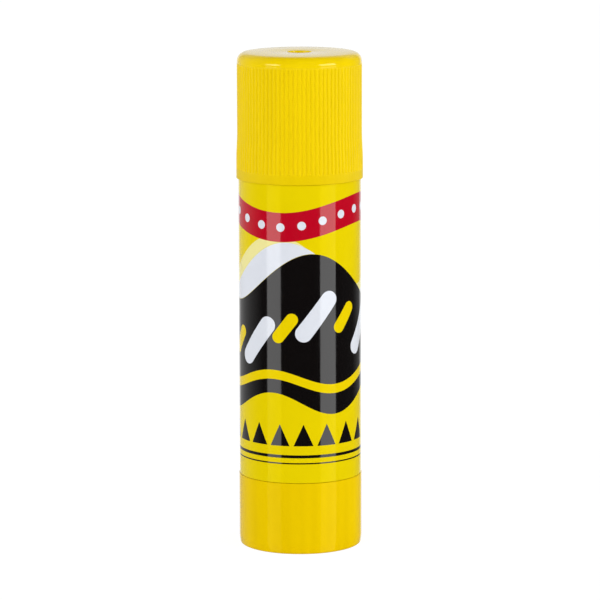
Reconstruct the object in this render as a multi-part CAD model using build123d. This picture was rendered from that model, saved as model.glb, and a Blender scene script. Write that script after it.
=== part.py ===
from build123d import *
import math
import os

# Twist-up glue stick, closed, in millimetres.
# Z runs up the axis. The origin is the middle of the ring that the stick stands on.
# The front, as a user reads it, faces -Y.

# Outside heights, from the table up
KNOB_HEIGHT = 12.2
TUBE_LENGTH = 51.2
NECK_LENGTH = 12.5
CAP_HEIGHT = 21.3

# Walls, from the glue channel outwards
BORE_RADIUS = 8.6
NECK_WALL = 0.9
SPIGOT_WALL = 0.9
TUBE_WALL = 1.75
KNOB_WALL = 0.93
CAP_WALL = 0.92
CAP_TOP_WALL = 1.2

# Gaps between pieces
SEAM_GAP = 0.15
KNOB_CLEARANCE = 0.12
CAP_CLEARANCE = 0.08
PISTON_CLEARANCE = 0.15
THREAD_CLEARANCE = 0.2
SOCKET_CLEARANCE = 0.05
FILM_GAP = 0.01

# One overrun serves all cuts and all roots that are fused into a wall
OVERRUN = 0.3

# Barrel details
EDGE_BREAK = 0.15
NECK_CHAMFER = 0.3
GRIP_BEAD_HEIGHT = 0.12
GRIP_BEAD_WIDTH = 0.8
GRIP_BEAD_RISES = (2.6, 8.4)
SPIGOT_FLOOR_GAP = 1.6
SPIGOT_CHAMFER = 0.35
SNAP_BEAD_HEIGHT = 0.25
SNAP_BEAD_WIDTH = 1.0
SNAP_BEAD_RISE = 2.2
KEY_COUNT = 4
KEY_HEIGHT = 0.45
KEY_WIDTH = 1.1
KEY_STOP = 1.2

# Label film
FILM_THICKNESS = 0.09
FILM_MARGIN = 0.12
LAP_WIDTH = 3.0

# Knob details
STANDING_RING_WIDTH = 1.3
FOOT_RECESS = 0.8
KNOB_FLOOR = 1.2
KNOB_FOOT_HEIGHT = 1.5
KNOB_FOOT_TAPER = 0.15
KNOB_FOOT_CHAMFER = 0.25
KNOB_TOP_CHAMFER = 0.2
BOSS_WALL = 1.5
SOCKET_DEPTH = 6.0
SOCKET_END_GAP = 0.2
GUSSET_COUNT = 6
GUSSET_THICKNESS = 0.9
GUSSET_HEIGHT = 3.2
GUSSET_WALL_GAP = 0.9

# Lead screw and its nut
CORE_RADIUS = 2.1
THREAD_HEIGHT = 0.8
THREAD_ROOT_WIDTH = 1.8
THREAD_CREST_WIDTH = 1.0
LEAD = 5.0
TURNS = 6
FOOT_ACROSS_FLATS = 4.4
FLANGE_RADIUS = 3.5
FLANGE_THICKNESS = 1.0
THREAD_RELIEF = 2.0
TIP_OVERRUN = 0.8
TIP_CHAMFER = 0.6
NUT_LENGTH = 8.0
HUB_WALL = 1.3
HUB_CHAMFER = 0.5

# Piston
CUP_FLOOR = 1.2
CUP_DEPTH = 7.5
CUP_WALL = 0.9
CUP_WAIST = 0.3
CUP_LIP_HEIGHT = 1.2
CUP_LIP_CHAMFER = 0.25
SKIRT_DEPTH = 5.3
HUB_LENGTH = 11.3
WEB_COUNT = 4
WEB_THICKNESS = 0.9
ANCHOR_HEIGHT = 0.35
ANCHOR_WIDTH = 1.2
ANCHOR_RISE = 4.0

# Glue
GLUE_LENGTH = 38.5
GLUE_RECESS = 1.05
GLUE_SKIN_GAP = 0.03
GLUE_CHAMFER = 0.35
GLUE_TIP_GAP = 0.5

# Cap details
LIP_HEIGHT = 1.45
LIP_CHAMFER = 0.2
CAP_LEAD_IN = 0.3
CAP_FLARE = 0.17
FLARE_FOOT_HEIGHT = 3.2
FLARE_HEIGHT = 4.3
RIB_COUNT = 90
RIB_TOP_MARGIN = 2.0
GROOVE_DEPTH = 0.16
GROOVE_WIDTH = 0.28
SHOULDER_RADIUS = 1.5
DIMPLE_RADIUS = 2.0
DIMPLE_DEPTH = 0.35
GATE_RADIUS = 0.65
GATE_HEIGHT = 0.12
SEAL_WALL = 0.55
SEAL_GAP = 0.15

# Radii that follow from the walls and gaps
NECK_RADIUS = BORE_RADIUS + NECK_WALL
GRIP_RADIUS = NECK_RADIUS + GRIP_BEAD_HEIGHT
SPIGOT_RADIUS = BORE_RADIUS + SPIGOT_WALL
TUBE_RADIUS = BORE_RADIUS + TUBE_WALL
KEY_RADIUS = BORE_RADIUS - KEY_HEIGHT
FILM_INNER = TUBE_RADIUS + FILM_GAP
FILM_OUTER = FILM_INNER + FILM_THICKNESS
KNOB_BORE = SPIGOT_RADIUS + KNOB_CLEARANCE
KNOB_RADIUS = KNOB_BORE + KNOB_WALL
CAP_BORE = GRIP_RADIUS + CAP_CLEARANCE
CAP_RADIUS = CAP_BORE + CAP_WALL
LIP_RADIUS = CAP_RADIUS + CAP_FLARE
THREAD_RADIUS = CORE_RADIUS + THREAD_HEIGHT
THREAD_BORE = THREAD_RADIUS + THREAD_CLEARANCE
HUB_RADIUS = THREAD_BORE + HUB_WALL
PISTON_RADIUS = BORE_RADIUS - PISTON_CLEARANCE
CUP_INNER = PISTON_RADIUS - CUP_WALL

# Levels that follow from the heights
FLOOR_TOP = FOOT_RECESS + KNOB_FLOOR
BOSS_TOP = FLOOR_TOP + SOCKET_DEPTH
SPIGOT_FOOT = FLOOR_TOP + SPIGOT_FLOOR_GAP
SNAP_LEVEL = SPIGOT_FOOT + SNAP_BEAD_RISE
TUBE_FOOT = KNOB_HEIGHT + SEAM_GAP
TUBE_TOP = TUBE_FOOT + TUBE_LENGTH
NECK_TOP = TUBE_TOP + NECK_LENGTH
CAP_RIM = TUBE_TOP + SEAM_GAP
CAP_TOP = CAP_RIM + CAP_HEIGHT
CAP_CEILING = CAP_TOP - CAP_TOP_WALL
GLUE_TOP = NECK_TOP - GLUE_RECESS
CUP_BASE = GLUE_TOP - GLUE_LENGTH
CUP_RIM = CUP_BASE + CUP_DEPTH
CUP_UNDERSIDE = CUP_BASE - CUP_FLOOR
HUB_FOOT = CUP_UNDERSIDE - HUB_LENGTH
NUT_TOP = HUB_FOOT + NUT_LENGTH
TRAVEL = LEAD * TURNS
SPINDLE_TIP = NUT_TOP + TRAVEL + TIP_OVERRUN
FLANGE_TOP = BOSS_TOP + FLANGE_THICKNESS
THREAD_FOOT = FLANGE_TOP + THREAD_RELIEF


def turned(*corners):
    """Revolve an outline about Z. Each corner is (radius, height) or (radius, height, rounding)."""
    points = [(corner[0], corner[1]) for corner in corners]
    roundings = [corner[2] if len(corner) > 2 else 0 for corner in corners]
    outline = FilletPolyline(*points, radius=roundings, close=True)
    return revolve(Plane.XZ * make_face(outline), Axis.Z)


def bead(wall, height, level, width):
    """A low ring of triangular section on a wall; a negative height points inwards."""
    root = wall - math.copysign(OVERRUN, height)
    half = width / 2
    return turned(
        (root, level - half),
        (wall, level - half),
        (wall + height, level),
        (wall, level + half),
        (root, level + half),
    )


def radial_bars(count, inner, outer, width, foot, top):
    """Upright bars between two radii, evenly spaced round the axis and starting on +X."""
    bar = Pos((inner + outer) / 2, 0, (foot + top) / 2) * Box(outer - inner, width, top - foot)
    return [Rot(0, 0, 360 * step / count) * bar for step in range(count)]


def key_slots(foot, top):
    """What the barrel's keys sweep out in the piston and the glue, with their clearance."""
    inner = KEY_RADIUS - PISTON_CLEARANCE
    width = KEY_WIDTH + 2 * PISTON_CLEARANCE
    return radial_bars(KEY_COUNT, inner, BORE_RADIUS + OVERRUN, width, foot - OVERRUN, top + OVERRUN)


def ridge_half(radius):
    """Half the height of the lead screw's ridge, along Z, at a radius on its flank."""
    slope = (THREAD_ROOT_WIDTH - THREAD_CREST_WIDTH) / 2 / THREAD_HEIGHT
    return THREAD_ROOT_WIDTH / 2 - slope * (radius - CORE_RADIUS)


def helical_ridge(root, crest, root_half, crest_half, foot, top, lag):
    """Sweep a tapered ridge up a right-hand helix, its ends flush with two levels."""
    corners = [(root, -root_half), (crest, -crest_half), (crest, crest_half), (root, root_half)]
    section = make_face(Polyline(*corners, close=True))
    tallest = max(root_half, crest_half)
    start = foot + tallest
    path = Helix(pitch=LEAD, height=top - tallest - start, radius=CORE_RADIUS)
    ridge = sweep(Plane.XZ * section, path=path, is_frenet=True)
    return Pos(0, 0, start) * Rot(0, 0, 360 * (start + lag) / LEAD) * ridge


def screw_ridge(foot, top):
    """The lead screw's ridge, rooted in its core."""
    root = CORE_RADIUS - OVERRUN
    return helical_ridge(root, THREAD_RADIUS, ridge_half(root), THREAD_CREST_WIDTH / 2, foot, top, 0)


def nut_ridge(foot, top):
    """The nut's ridge, rooted in the hub, which fills the screw's groove but for the clearance."""
    root = THREAD_BORE + OVERRUN
    crest = CORE_RADIUS + THREAD_CLEARANCE
    spare = LEAD / 2 - THREAD_CLEARANCE
    root_half = spare - ridge_half(root)
    crest_half = spare - ridge_half(crest)
    return helical_ridge(root, crest, root_half, crest_half, foot, top, LEAD / 2)


def make_barrel():
    """Tube with a neck for the cap, a spigot for the knob and keys that stop the piston turning."""
    shell = turned(
        (BORE_RADIUS, SPIGOT_FOOT),
        (SPIGOT_RADIUS - SPIGOT_CHAMFER, SPIGOT_FOOT),
        (SPIGOT_RADIUS, SPIGOT_FOOT + SPIGOT_CHAMFER),
        (SPIGOT_RADIUS, TUBE_FOOT),
        (TUBE_RADIUS - EDGE_BREAK, TUBE_FOOT),
        (TUBE_RADIUS, TUBE_FOOT + EDGE_BREAK),
        (TUBE_RADIUS, TUBE_TOP - EDGE_BREAK),
        (TUBE_RADIUS - EDGE_BREAK, TUBE_TOP),
        (NECK_RADIUS, TUBE_TOP),
        (NECK_RADIUS, NECK_TOP - NECK_CHAMFER),
        (NECK_RADIUS - NECK_CHAMFER, NECK_TOP),
        (BORE_RADIUS, NECK_TOP),
    )
    snap = bead(SPIGOT_RADIUS, SNAP_BEAD_HEIGHT, SNAP_LEVEL, SNAP_BEAD_WIDTH)
    grips = [bead(NECK_RADIUS, GRIP_BEAD_HEIGHT, TUBE_TOP + rise, GRIP_BEAD_WIDTH) for rise in GRIP_BEAD_RISES]
    keys = radial_bars(KEY_COUNT, KEY_RADIUS, BORE_RADIUS + OVERRUN, KEY_WIDTH, TUBE_FOOT, NECK_TOP - KEY_STOP)
    return shell + [snap, *grips, *keys]


def make_label():
    """Printed film wrapped round the tube, lapped over itself down the back."""
    foot = TUBE_FOOT + FILM_MARGIN
    height = TUBE_LENGTH - 2 * FILM_MARGIN
    wrap = Pos(0, 0, foot) * extrude(Circle(FILM_OUTER) - Circle(FILM_INNER), height)
    second_layer = Circle(FILM_OUTER + FILM_THICKNESS) - Circle(FILM_OUTER)
    strip = Pos(0, FILM_OUTER) * Rectangle(LAP_WIDTH, FILM_OUTER)
    lap = Pos(0, 0, foot) * extrude(second_layer & strip, height)
    return wrap + lap


def make_knob():
    """Cup that turns on the barrel's spigot, with the lead screw's socket in the middle."""
    ring_inner = KNOB_RADIUS - STANDING_RING_WIDTH
    foot_radius = KNOB_RADIUS - KNOB_FOOT_TAPER
    cup = turned(
        (0, FOOT_RECESS),
        (ring_inner, FOOT_RECESS),
        (ring_inner, 0),
        (foot_radius - KNOB_FOOT_CHAMFER, 0),
        (foot_radius, KNOB_FOOT_CHAMFER),
        (KNOB_RADIUS, KNOB_FOOT_HEIGHT),
        (KNOB_RADIUS, KNOB_HEIGHT - KNOB_TOP_CHAMFER),
        (KNOB_RADIUS - KNOB_TOP_CHAMFER, KNOB_HEIGHT),
        (KNOB_BORE, KNOB_HEIGHT),
        (KNOB_BORE, FLOOR_TOP),
        (0, FLOOR_TOP),
    )
    across = FOOT_ACROSS_FLATS + 2 * SOCKET_CLEARANCE
    boss_radius = across / math.sqrt(3) + BOSS_WALL
    boss = turned((0, FOOT_RECESS), (boss_radius, FOOT_RECESS), (boss_radius, BOSS_TOP), (0, BOSS_TOP))
    gusset_outer = BORE_RADIUS - GUSSET_WALL_GAP
    gusset_inner = boss_radius - OVERRUN
    gusset_top = FLOOR_TOP + GUSSET_HEIGHT
    gussets = radial_bars(GUSSET_COUNT, gusset_inner, gusset_outer, GUSSET_THICKNESS, FOOT_RECESS, gusset_top)
    socket = Pos(0, 0, FLOOR_TOP) * extrude(RegularPolygon(across / 2, 6, major_radius=False), SOCKET_DEPTH + OVERRUN)
    groove_width = SNAP_BEAD_WIDTH + 2 * KNOB_CLEARANCE
    groove = bead(KNOB_BORE, SNAP_BEAD_HEIGHT, SNAP_LEVEL, groove_width)
    return cup + [boss, *gussets] - [socket, groove]


def make_spindle():
    """Lead screw: hexagonal foot in the knob's boss, flange on top of it, then a coarse thread."""
    foot_length = SOCKET_DEPTH - SOCKET_END_GAP
    foot = Pos(0, 0, BOSS_TOP - foot_length) * extrude(
        RegularPolygon(FOOT_ACROSS_FLATS / 2, 6, major_radius=False), foot_length + FLANGE_THICKNESS
    )
    shaft = turned(
        (0, BOSS_TOP),
        (FLANGE_RADIUS, BOSS_TOP),
        (FLANGE_RADIUS, FLANGE_TOP),
        (CORE_RADIUS, FLANGE_TOP),
        (CORE_RADIUS, SPINDLE_TIP - TIP_CHAMFER),
        (CORE_RADIUS - TIP_CHAMFER, SPINDLE_TIP),
        (0, SPINDLE_TIP),
    )
    return shaft + [foot, screw_ridge(THREAD_FOOT, SPINDLE_TIP - TIP_CHAMFER)]


def make_piston():
    """Cup that carries the glue, with a guide skirt below it and the nut in the middle."""
    waist = PISTON_RADIUS - CUP_WAIST
    waist_foot = CUP_UNDERSIDE + CUP_LIP_HEIGHT
    waist_top = CUP_RIM - CUP_LIP_HEIGHT
    skirt_foot = CUP_UNDERSIDE - SKIRT_DEPTH
    cup = turned(
        (THREAD_BORE, CUP_BASE),
        (THREAD_BORE, CUP_UNDERSIDE),
        (CUP_INNER, CUP_UNDERSIDE),
        (CUP_INNER, skirt_foot),
        (PISTON_RADIUS - CUP_LIP_CHAMFER, skirt_foot),
        (PISTON_RADIUS, skirt_foot + CUP_LIP_CHAMFER),
        (PISTON_RADIUS, waist_foot - CUP_LIP_CHAMFER),
        (waist, waist_foot),
        (waist, waist_top),
        (PISTON_RADIUS, waist_top + CUP_LIP_CHAMFER),
        (PISTON_RADIUS, CUP_RIM - CUP_LIP_CHAMFER),
        (PISTON_RADIUS - CUP_LIP_CHAMFER, CUP_RIM),
        (CUP_INNER, CUP_RIM),
        (CUP_INNER, CUP_BASE),
    )
    anchor = bead(CUP_INNER, -ANCHOR_HEIGHT, CUP_BASE + ANCHOR_RISE, ANCHOR_WIDTH)
    hub = turned(
        (THREAD_BORE, HUB_FOOT),
        (HUB_RADIUS - HUB_CHAMFER, HUB_FOOT),
        (HUB_RADIUS, HUB_FOOT + HUB_CHAMFER),
        (HUB_RADIUS, CUP_BASE),
        (THREAD_BORE, CUP_BASE),
    )
    web_inner = HUB_RADIUS - OVERRUN
    web_outer = CUP_INNER + OVERRUN
    webs = radial_bars(WEB_COUNT, web_inner, web_outer, WEB_THICKNESS, skirt_foot, CUP_UNDERSIDE + OVERRUN)
    webs = [Rot(0, 0, 180 / WEB_COUNT) * web for web in webs]
    nut = nut_ridge(HUB_FOOT, NUT_TOP)
    return cup + [anchor, hub, *webs, nut] - key_slots(skirt_foot, CUP_RIM)


def make_glue():
    """Solid glue, cast in the cup and round the lead screw's room."""
    plug = CUP_INNER - GLUE_SKIN_GAP
    groove_level = CUP_BASE + ANCHOR_RISE
    groove_half = ANCHOR_WIDTH / 2 + GLUE_SKIN_GAP
    bore_top = SPINDLE_TIP + GLUE_TIP_GAP
    column = turned(
        (THREAD_BORE, CUP_BASE),
        (plug, CUP_BASE),
        (plug, groove_level - groove_half),
        (plug - ANCHOR_HEIGHT, groove_level),
        (plug, groove_level + groove_half),
        (plug, CUP_RIM),
        (PISTON_RADIUS, CUP_RIM),
        (PISTON_RADIUS, GLUE_TOP - GLUE_CHAMFER),
        (PISTON_RADIUS - GLUE_CHAMFER, GLUE_TOP),
        (0, GLUE_TOP),
        (0, bore_top),
        (THREAD_BORE, bore_top),
    )
    return column - key_slots(CUP_RIM, GLUE_TOP)


def rib_grooves():
    """The narrow grooves that leave the cap's broad ribs standing between them."""
    root = CAP_RADIUS - GROOVE_DEPTH
    mouth = LIP_RADIUS + OVERRUN
    half = GROOVE_WIDTH / 2 * (mouth - root) / (CAP_RADIUS - root)
    section = make_face(Polyline((root, 0), (mouth, -half), (mouth, half), close=True))
    foot = CAP_RIM + LIP_HEIGHT
    groove = Pos(0, 0, foot) * extrude(section, CAP_TOP - RIB_TOP_MARGIN - foot)
    pitch = 360 / RIB_COUNT
    return [Rot(0, 0, pitch * (step + 0.5)) * groove for step in range(RIB_COUNT)]


def make_cap():
    """Pull-off cap: ribbed wall flared above a plain lip, dimpled top, sealing ring inside."""
    flare_foot = CAP_RIM + FLARE_FOOT_HEIGHT
    dimple_floor = CAP_TOP - DIMPLE_DEPTH
    shell = turned(
        (CAP_BORE + CAP_LEAD_IN, CAP_RIM),
        (LIP_RADIUS - LIP_CHAMFER, CAP_RIM),
        (LIP_RADIUS, CAP_RIM + LIP_CHAMFER),
        (LIP_RADIUS, flare_foot),
        (CAP_RADIUS, flare_foot + FLARE_HEIGHT),
        (CAP_RADIUS, CAP_TOP, SHOULDER_RADIUS),
        (DIMPLE_RADIUS, CAP_TOP),
        (DIMPLE_RADIUS, dimple_floor),
        (GATE_RADIUS, dimple_floor),
        (GATE_RADIUS, dimple_floor + GATE_HEIGHT),
        (0, dimple_floor + GATE_HEIGHT),
        (0, CAP_CEILING),
        (CAP_BORE, CAP_CEILING),
        (CAP_BORE, CAP_RIM + CAP_LEAD_IN),
    )
    seal_middle = BORE_RADIUS + NECK_WALL / 2
    seal_inner = seal_middle - SEAL_WALL / 2
    seal_outer = seal_middle + SEAL_WALL / 2
    seal = turned(
        (seal_inner, NECK_TOP + SEAL_GAP),
        (seal_outer, NECK_TOP + SEAL_GAP),
        (seal_outer, CAP_CEILING + OVERRUN),
        (seal_inner, CAP_CEILING + OVERRUN),
    )
    return shell + seal - rib_grooves()


pieces = {
    "barrel": make_barrel(),
    "label": make_label(),
    "knob": make_knob(),
    "spindle": make_spindle(),
    "piston": make_piston(),
    "glue": make_glue(),
    "cap": make_cap(),
}

os.makedirs("parts", exist_ok=True)
for name, piece in pieces.items():
    export_step(piece, f"parts/{name}.step")
    print(f"{name}: {len(piece.solids())} solid, {piece.volume:.1f} mm3")
print(f"height {CAP_TOP:.2f} mm, travel {TRAVEL:.1f} mm")
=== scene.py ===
# %% [markdown]
# # A twist-up glue stick
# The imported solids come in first. They say where every piece is and how large it is.
# Each cell after this one makes one helper, light, finish or piece, so each can be read on its own.

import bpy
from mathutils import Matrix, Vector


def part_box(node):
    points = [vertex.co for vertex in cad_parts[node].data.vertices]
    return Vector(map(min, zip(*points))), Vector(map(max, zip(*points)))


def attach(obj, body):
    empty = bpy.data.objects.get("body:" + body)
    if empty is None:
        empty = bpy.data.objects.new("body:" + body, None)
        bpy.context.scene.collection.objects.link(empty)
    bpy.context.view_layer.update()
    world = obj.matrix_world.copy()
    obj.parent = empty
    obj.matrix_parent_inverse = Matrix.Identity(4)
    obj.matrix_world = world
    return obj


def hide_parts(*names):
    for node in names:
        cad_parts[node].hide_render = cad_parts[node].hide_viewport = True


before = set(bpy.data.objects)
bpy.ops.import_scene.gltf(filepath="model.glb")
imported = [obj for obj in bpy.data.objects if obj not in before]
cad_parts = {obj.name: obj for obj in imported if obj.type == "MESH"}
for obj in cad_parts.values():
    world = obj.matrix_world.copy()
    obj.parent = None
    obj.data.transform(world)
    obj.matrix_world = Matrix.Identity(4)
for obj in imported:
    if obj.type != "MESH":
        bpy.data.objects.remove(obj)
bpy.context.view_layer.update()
print("nodes:", sorted(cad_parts))

# %% [markdown]
# ## Measures
# Sizes are written in millimetres, and one constant turns them into Blender's metres. The foot, the top and
# the radius of a piece are read from its solid, so the dressed piece fits it.

# %% Modules, the millimetre and the levels of the solids
import math

import bmesh
import bpy
from mathutils import Matrix

MM = 0.001
TURN = 2 * math.pi


def span(node):
    """Lowest level, highest level and greatest radius of a solid, in millimetres."""
    low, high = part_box(node)
    return low.z / MM, high.z / MM, high.x / MM


knob_foot, knob_top, knob_radius = span("knob")
barrel_foot, barrel_top, tube_radius = span("barrel")
label_foot, label_top, _ = span("label")
cap_foot, cap_top, cap_radius = span("cap")
glue_foot, glue_top, _ = span("glue")
print(f"stick {cap_top:.1f} mm tall, knob {2 * knob_radius:.1f} mm across")

# %% [markdown]
# ## Camera
# The photograph is a long-lens view from a little above: the top shows as a thin ellipse, and the sides
# hardly lean. The distance, tilt and lens give the ellipses of the top, the rim and the foot their measured
# heights. A very small roll follows the photograph, where the stick is not quite upright.

# %% Camera
CAMERA_DISTANCE = 0.6171
CAMERA_HEIGHT = 0.1448
CAMERA_TILT = 0.1646
CAMERA_ROLL = -0.0028
CAMERA_LENS = 218.8
SENSOR_WIDTH = 36.0

camera_data = bpy.data.cameras.new("camera")
camera_data.sensor_width = SENSOR_WIDTH
camera_data.lens = CAMERA_LENS
camera = bpy.data.objects.new("camera", camera_data)
bpy.context.scene.collection.objects.link(camera)
camera.matrix_world = (
    Matrix.Translation((0, -CAMERA_DISTANCE, CAMERA_HEIGHT))
    @ Matrix.Rotation(math.pi / 2 - CAMERA_TILT, 4, "X")
    @ Matrix.Rotation(CAMERA_ROLL, 4, "Z")
)
bpy.context.scene.camera = camera
print(f"camera {CAMERA_DISTANCE} m away, lens {CAMERA_LENS} mm")

# %% [markdown]
# ## Helpers for node trees
# Materials, the world and geometry trees are all built from nodes, so one helper adds a node and fills its
# inputs. A value that is a socket is linked, and any other value is written on the input. The helpers after
# it hand on a node's result, so that sums read like sums.

# %% Node helpers
def add_node(tree, kind, inputs=None, **settings):
    """Add a node, set its options, then link or write each named or numbered input."""
    made = tree.nodes.new(kind)
    for key, value in settings.items():
        setattr(made, key, value)
    for key, value in (inputs or {}).items():
        if isinstance(value, bpy.types.NodeSocket):
            tree.links.new(value, made.inputs[key])
        else:
            made.inputs[key].default_value = value
    return made


def result(tree, kind, inputs=None, **settings):
    """Add a node and return its first output."""
    return add_node(tree, kind, inputs, **settings).outputs[0]


def maths(tree, operation, *values, clamp=False):
    """One Math node; returns its result."""
    inputs = dict(enumerate(values))
    return result(tree, "ShaderNodeMath", inputs, operation=operation, use_clamp=clamp)


def blended(tree, share, first, second, mode="MIX"):
    """Mix two colours by a share from 0 to 1."""
    inputs = {0: share, 6: first, 7: second}
    return add_node(tree, "ShaderNodeMix", inputs, data_type="RGBA", blend_type=mode).outputs[2]


def ranged(tree, value, low, high, new_low, new_high):
    """Stretch a value from one range to another, held at both ends."""
    return result(tree, "ShaderNodeMapRange", {0: value, 1: low, 2: high, 3: new_low, 4: new_high})


print("made the node helpers")

# %% [markdown]
# ## Light
# The studio is simple: a white sweep behind the stick, a dark room in front, and a tall soft box on each
# side. The world has no shapes, only a brightness for each direction, so the direction is first split into
# X to the right, Y away from the camera and Z up.

# %% World and its directions
WHITE = (1, 1, 1, 1)

world = bpy.data.worlds.new("studio")
bpy.context.scene.world = world
world.use_nodes = True
sky = world.node_tree
sky.nodes.clear()
direction = add_node(sky, "ShaderNodeTexCoord").outputs["Generated"]
axes = add_node(sky, "ShaderNodeSeparateXYZ", {0: direction}).outputs
leftward = maths(sky, "MULTIPLY", axes["X"], -1.0)
print("world:", world.name)

# %% [markdown]
# A glossy surface mirrors the room. The room is dark in front, which keeps the colours deep, and the sweep
# behind is white. The ceiling and the two walls grow lighter towards the sweep. This fades the black ink to
# grey at the stick's sides, and it keeps a dark line off the rim of the cap's top.

# %% What a mirror sees
FRONT_ROOM = 0.015
SIDE_ROOM = 0.04
ROOM_EDGES = (-0.6, 0.8)
SWEEP = 0.90
SWEEP_EDGES = (0.84, 0.92)
WALL_END = 0.82

room = ranged(sky, axes["Y"], *ROOM_EDGES, FRONT_ROOM, SIDE_ROOM)
mirrored = maths(sky, "MAXIMUM", room, ranged(sky, axes["Y"], *SWEEP_EDGES, 0.0, SWEEP))
for wall_name, toward, wall_edge, wall_full, glow_start, level in (
    ("ceiling", axes["Z"], 0.2, 0.5, 0.35, 0.70),
    ("left wall", leftward, 0.3, 0.5, -0.3, 0.50),
    ("right wall", axes["X"], 0.3, 0.5, 0.4, 0.20),
):
    wall = ranged(sky, toward, wall_edge, wall_full, 0.0, 1.0)
    wall = maths(sky, "MULTIPLY", wall, ranged(sky, axes["Y"], glow_start, WALL_END, 0.0, level))
    mirrored = maths(sky, "MAXIMUM", mirrored, wall)
    print(f"{wall_name}: {level} where it meets the sweep")

# %% [markdown]
# A matte surface gathers light from all round. This fill is set so that a colour renders about as it is
# written. Most of it comes from the front and the sides, more from the right than the left. Less comes from
# behind, and hardly any from straight above, where it would wash out the cap's top.

# %% What a matte surface gets
FILL_LIGHT = 0.93
LEFT_SHARE, LEFT_EDGES = 1.70, (-1.0, -0.5)
RIGHT_SHARE, RIGHT_EDGES = 2.10, (0.5, 1.0)
TOP_SHARE, TOP_EDGES = 0.02, (0.60, 0.90)
BACK_SHARE, BACK_EDGES = 0.70, (0.3, 0.9)

fill = ranged(sky, axes["X"], *LEFT_EDGES, LEFT_SHARE, 1.0)
for part in (
    ranged(sky, axes["X"], *RIGHT_EDGES, 1.0, RIGHT_SHARE),
    ranged(sky, axes["Z"], *TOP_EDGES, 1.0, TOP_SHARE),
    ranged(sky, axes["Y"], *BACK_EDGES, FILL_LIGHT, FILL_LIGHT * BACK_SHARE),
):
    fill = maths(sky, "MULTIPLY", fill, part)
print("fill", FILL_LIGHT, "from the front and", round(FILL_LIGHT * BACK_SHARE, 3), "from behind")

# %% [markdown]
# Light Path tells the rays apart. Mirror rays get the room and matte ones the fill. Rays from the camera,
# and rays through clear things, get the white background of the photograph.

# %% Each kind of ray gets its own brightness
rays = add_node(sky, "ShaderNodeLightPath").outputs
brightness = maths(sky, "MULTIPLY", rays["Is Glossy Ray"], maths(sky, "SUBTRACT", mirrored, fill))
brightness = maths(sky, "ADD", brightness, fill)
for ray in ("Is Camera Ray", "Is Transmission Ray"):
    brightness = maths(sky, "MAXIMUM", brightness, rays[ray])
glow = result(sky, "ShaderNodeBackground", {"Color": WHITE, "Strength": brightness})
add_node(sky, "ShaderNodeOutputWorld", {"Surface": glow})
print("world tree:", len(sky.nodes), "nodes")

# %% [markdown]
# ## Soft boxes
# Two tall area lamps give the long streaks down the barrel. A lamp's brightness, seen in a mirror, is its
# power over its area times pi, so the helper takes that brightness and works the power out. Azimuth 0 is the
# camera's side and 90 is its right. Above each is a small bright one, which the cap's rounded shoulder
# mirrors as a short highlight.

# %% Soft boxes
TALL = (-0.70, 0.06)
HIGH = (0.18, 0.50)


def soft_box(name, azimuth, width, levels, brightness, shape="RECTANGLE"):
    """An upright area lamp a metre from the stick's axis, between two levels in metres."""
    foot, top = levels
    data = bpy.data.lights.new(name, "AREA")
    data.shape = shape
    data.size = width
    data.size_y = top - foot
    area = data.size * data.size_y * (math.pi / 4 if shape == "ELLIPSE" else 1)
    data.energy = brightness * math.pi * area
    lamp = bpy.data.objects.new(name, data)
    bpy.context.scene.collection.objects.link(lamp)
    turn = math.radians(azimuth)
    lamp.location = (math.sin(turn), -math.cos(turn), (foot + top) / 2)
    lamp.rotation_euler = (math.pi / 2, 0, turn)
    print(f"{name}: {data.energy:.2f} W")


soft_box("soft_box_left", -50.5, 0.50, TALL, 1.55)
soft_box("soft_box_right", 54.5, 0.58, TALL, 1.66)
soft_box("soft_box_left_top", -50.5, 0.58, HIGH, 4.4, "ELLIPSE")
soft_box("soft_box_right_top", 54.5, 0.66, HIGH, 5.0, "ELLIPSE")

# %% [markdown]
# ## Floor
# The floor is plain and pale. To the camera it is nearly all white glow with a little of the lit surface, so
# the background is white and the stick keeps its soft contact shadow. Mirror rays pass through it, because
# the soft boxes reach below the table's edge and the streaks run to the stick's foot.

# %% Floor paint
PALE = (0.92, 0.92, 0.92, 1)
GLOW_STRENGTH = 1.09
GLOW_SHARE = 0.86

floor_paint = bpy.data.materials.new("floor_paint")
floor_paint.use_nodes = True
tree = floor_paint.node_tree
tree.nodes.clear()
rays = add_node(tree, "ShaderNodeLightPath").outputs
lit = result(tree, "ShaderNodeBsdfDiffuse", {"Color": PALE})
white = result(tree, "ShaderNodeEmission", {"Color": WHITE, "Strength": GLOW_STRENGTH})
clear = result(tree, "ShaderNodeBsdfTransparent")
seen = maths(tree, "MAXIMUM", rays["Is Camera Ray"], rays["Is Transmission Ray"])
surface = lit
for share, other in ((maths(tree, "MULTIPLY", seen, GLOW_SHARE), white), (rays["Is Glossy Ray"], clear)):
    surface = result(tree, "ShaderNodeMixShader", {0: share, 1: surface, 2: other})
add_node(tree, "ShaderNodeOutputMaterial", {"Surface": surface})
print("made", floor_paint.name)

# %% [markdown]
# The floor is one square.

# %% Floor
FLOOR_SIZE = 8.0

half = FLOOR_SIZE / 2
floor_corners = [(-half, -half, 0), (half, -half, 0), (half, half, 0), (-half, half, 0)]
floor_mesh = bpy.data.meshes.new("floor")
floor_mesh.from_pydata(floor_corners, [], [(0, 1, 2, 3)])
floor_mesh.materials.append(floor_paint)
floor = bpy.data.objects.new("floor", floor_mesh)
bpy.context.scene.collection.objects.link(floor)
print(f"floor {FLOOR_SIZE} m square")

# %% [markdown]
# ## Helpers for finishes
# Every finish uses the Principled shader. A value that is the same all over sits on the shader's own
# socket, and only what varies is linked. Patterns read Object coordinates, which stay with a piece when it
# moves.

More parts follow.
